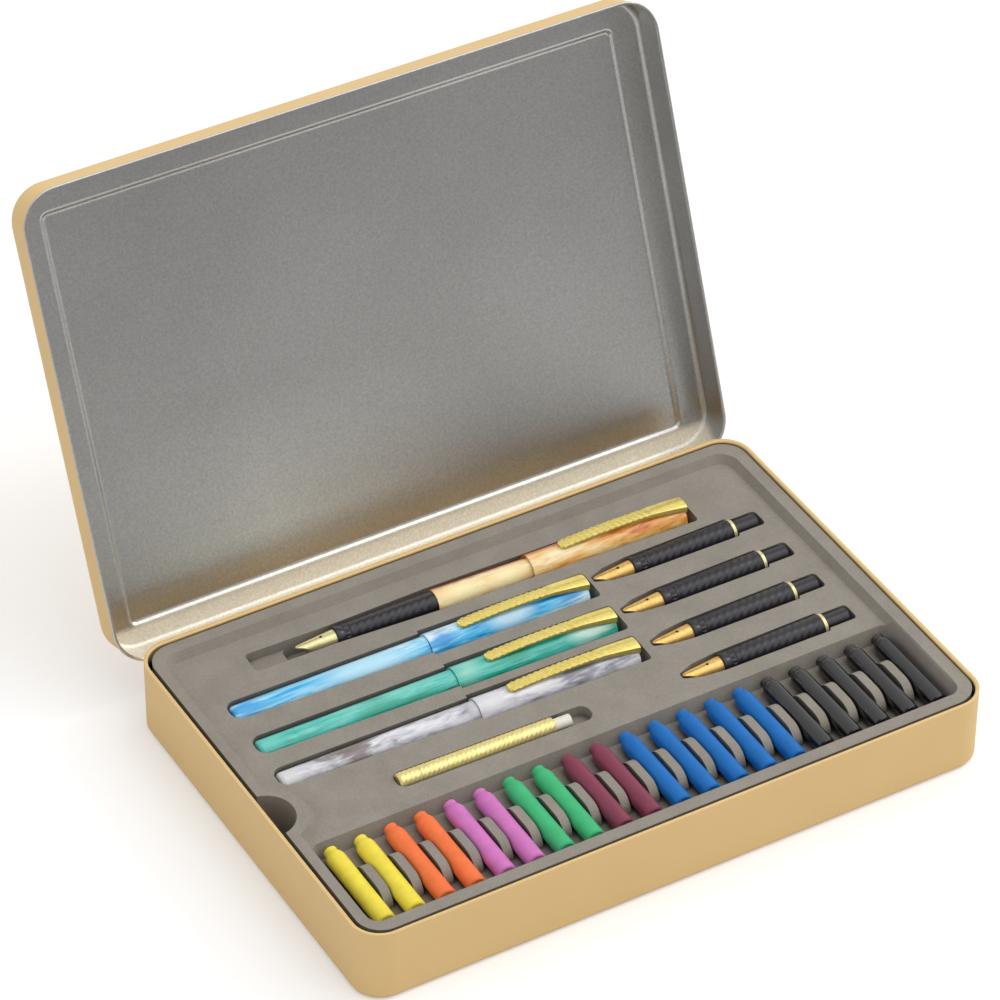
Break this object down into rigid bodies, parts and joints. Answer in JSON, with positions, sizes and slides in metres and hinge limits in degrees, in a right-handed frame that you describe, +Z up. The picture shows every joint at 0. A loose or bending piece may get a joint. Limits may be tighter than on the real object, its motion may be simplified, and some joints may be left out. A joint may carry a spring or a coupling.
{
  "type": "calligraphy set box",
  "caption": "Hinged tin with a flocked lift-out tray holding fountain pens, spare nib units, an ink converter and a row of coloured ink cartridges.",
  "frame": {"origin": "middle of the tin's flat underside", "axes": "+X along the tin from the finger notch to the nib units' tails, +Y from the cartridges to the hinges, +Z up; rest pose is the open lid"},
  "size_m": [0.245, 0.2405, 0.1773],
  "materials": {
    "gold_paint": "satin",
    "tinplate": "brushed",
    "steel": "satin",
    "flock": "flocked",
    "resin_blue": "polished marbled",
    "resin_green": "polished marbled",
    "resin_grey": "polished marbled",
    "resin_orange": "polished marbled",
    "gold_metal": "polished",
    "black_plastic": "gloss",
    "white_plastic": "satin",
    "ink_yellow": "satin",
    "ink_orange": "satin",
    "ink_pink": "satin",
    "ink_green": "satin",
    "ink_burgundy": "satin",
    "ink_blue": "satin",
    "ink_black": "satin"
  },
  "bodies": {
    "base": {"base_tin": "gold_paint", "base_hinge_left": "tinplate", "base_hinge_right": "tinplate", "hinge_pins": "steel"},
    "lid": {"lid_shell": "gold_paint", "lid_hinge_left": "tinplate", "lid_hinge_right": "tinplate"},
    "tray": {"tray": "flock"},
    "blue_pen": {"blue_pen_barrel": "resin_blue", "blue_pen_grip": "black_plastic", "blue_pen_nib": "gold_metal", "blue_pen_feed": "black_plastic"},
    "blue_cap": {"blue_pen_cap": "resin_blue", "blue_pen_clip": "gold_metal"},
    "green_pen": {"green_pen_barrel": "resin_green", "green_pen_grip": "black_plastic", "green_pen_nib": "gold_metal", "green_pen_feed": "black_plastic"},
    "green_cap": {"green_pen_cap": "resin_green", "green_pen_clip": "gold_metal"},
    "grey_pen": {"grey_pen_barrel": "resin_grey", "grey_pen_grip": "black_plastic", "grey_pen_nib": "gold_metal", "grey_pen_feed": "black_plastic"},
    "grey_cap": {"grey_pen_cap": "resin_grey", "grey_pen_clip": "gold_metal"},
    "orange_pen": {"orange_pen_barrel": "resin_orange", "orange_pen_grip": "black_plastic", "orange_pen_nib": "gold_metal", "orange_pen_feed": "black_plastic"},
    "orange_cap": {"orange_pen_cap": "resin_orange", "orange_pen_clip": "gold_metal"},
    "nib_unit_1": {"nib_unit_1_grip": "black_plastic", "nib_unit_1_ring": "gold_metal", "nib_unit_1_nib": "gold_metal", "nib_unit_1_feed": "black_plastic"},
    "nib_unit_2": {"nib_unit_2_grip": "black_plastic", "nib_unit_2_ring": "gold_metal", "nib_unit_2_nib": "gold_metal", "nib_unit_2_feed": "black_plastic"},
    "nib_unit_3": {"nib_unit_3_grip": "black_plastic", "nib_unit_3_ring": "gold_metal", "nib_unit_3_nib": "gold_metal", "nib_unit_3_feed": "black_plastic"},
    "nib_unit_4": {"nib_unit_4_grip": "black_plastic", "nib_unit_4_ring": "gold_metal", "nib_unit_4_nib": "gold_metal", "nib_unit_4_feed": "black_plastic"},
    "converter": {"converter_sleeve": "gold_metal", "converter_mouth": "white_plastic"},
    "converter_knob": {"converter_knob": "gold_metal"},
    "converter_piston": {"converter_piston": "black_plastic"},
    "yellow_ink": {"yellow_cartridges": "ink_yellow"},
    "orange_ink": {"orange_cartridges": "ink_orange"},
    "pink_ink": {"pink_cartridges": "ink_pink"},
    "green_ink": {"green_cartridges": "ink_green"},
    "burgundy_ink": {"burgundy_cartridges": "ink_burgundy"},
    "blue_ink": {"blue_cartridges": "ink_blue"},
    "black_ink": {"black_cartridges": "ink_black"}
  },
  "joints": [
    {"name": "lid_hinge", "type": "hinge", "parent": "base", "child": "lid", "pos_m": [0, 0.0861, 0.0176], "axis": [-1, 0, 0], "range_deg": [-111, 0]},
    {"name": "tray_lift", "type": "slide", "parent": "base", "child": "tray", "axis": [0, 0, 1], "range_m": [0, 0.036]},
    {"name": "blue_pen_lift", "type": "slide", "parent": "tray", "child": "blue_pen", "axis": [0, 0, 1], "range_m": [0, 0.02]},
    {"name": "blue_cap_pull", "type": "slide", "parent": "blue_pen", "child": "blue_cap", "axis": [0.9997, -0.0227, 0], "range_m": [0, 0.0022]},
    {"name": "green_pen_lift", "type": "slide", "parent": "tray", "child": "green_pen", "axis": [0, 0, 1], "range_m": [0, 0.02]},
    {"name": "green_cap_pull", "type": "slide", "parent": "green_pen", "child": "green_cap", "axis": [0.9997, -0.0227, 0], "range_m": [0, 0.0022]},
    {"name": "grey_pen_lift", "type": "slide", "parent": "tray", "child": "grey_pen", "axis": [0, 0, 1], "range_m": [0, 0.02]},
    {"name": "grey_cap_pull", "type": "slide", "parent": "grey_pen", "child": "grey_cap", "axis": [0.9997, -0.0227, 0], "range_m": [0, 0.0022]},
    {"name": "orange_pen_lift", "type": "slide", "parent": "tray", "child": "orange_pen", "axis": [0, 0, 1], "range_m": [0, 0.02]},
    {"name": "orange_cap_pull", "type": "slide", "parent": "orange_pen", "child": "orange_cap", "axis": [0.9997, -0.0227, 0], "range_m": [0, 0.0022]},
    {"name": "nib_unit_1_lift", "type": "slide", "parent": "tray", "child": "nib_unit_1", "axis": [0, 0, 1], "range_m": [0, 0.015]},
    {"name": "nib_unit_2_lift", "type": "slide", "parent": "tray", "child": "nib_unit_2", "axis": [0, 0, 1], "range_m": [0, 0.015]},
    {"name": "nib_unit_3_lift", "type": "slide", "parent": "tray", "child": "nib_unit_3", "axis": [0, 0, 1], "range_m": [0, 0.015]},
    {"name": "nib_unit_4_lift", "type": "slide", "parent": "tray", "child": "nib_unit_4", "axis": [0, 0, 1], "range_m": [0, 0.015]},
    {"name": "converter_lift", "type": "slide", "parent": "tray", "child": "converter", "axis": [0, 0, 1], "range_m": [0, 0.015]},
    {"name": "converter_twist", "type": "hinge", "parent": "converter", "child": "converter_knob", "pos_m": [-0.0392, -0.0165, 0.0242], "axis": [0.9997, -0.0227, 0], "range_deg": [0, 1440]},
    {"name": "converter_draw", "type": "slide", "parent": "converter", "child": "converter_piston", "axis": [-0.9997, 0.0227, 0], "range_m": [0, 0.0175]},
    {"name": "yellow_ink_lift", "type": "slide", "parent": "tray", "child": "yellow_ink", "axis": [0, 0, 1], "range_m": [0, 0.015]},
    {"name": "orange_ink_lift", "type": "slide", "parent": "tray", "child": "orange_ink", "axis": [0, 0, 1], "range_m": [0, 0.015]},
    {"name": "pink_ink_lift", "type": "slide", "parent": "tray", "child": "pink_ink", "axis": [0, 0, 1], "range_m": [0, 0.015]},
    {"name": "green_ink_lift", "type": "slide", "parent": "tray", "child": "green_ink", "axis": [0, 0, 1], "range_m": [0, 0.015]},
    {"name": "burgundy_ink_lift", "type": "slide", "parent": "tray", "child": "burgundy_ink", "axis": [0, 0, 1], "range_m": [0, 0.015]},
    {"name": "blue_ink_lift", "type": "slide", "parent": "tray", "child": "blue_ink", "axis": [0, 0, 1], "range_m": [0, 0.015]},
    {"name": "black_ink_lift", "type": "slide", "parent": "tray", "child": "black_ink", "axis": [0, 0, 1], "range_m": [0, 0.015]}
  ],
  "couplings": [
    {"joint": "converter_twist", "follows": "converter_draw", "rad_per_m": 1436.1}
  ]
}
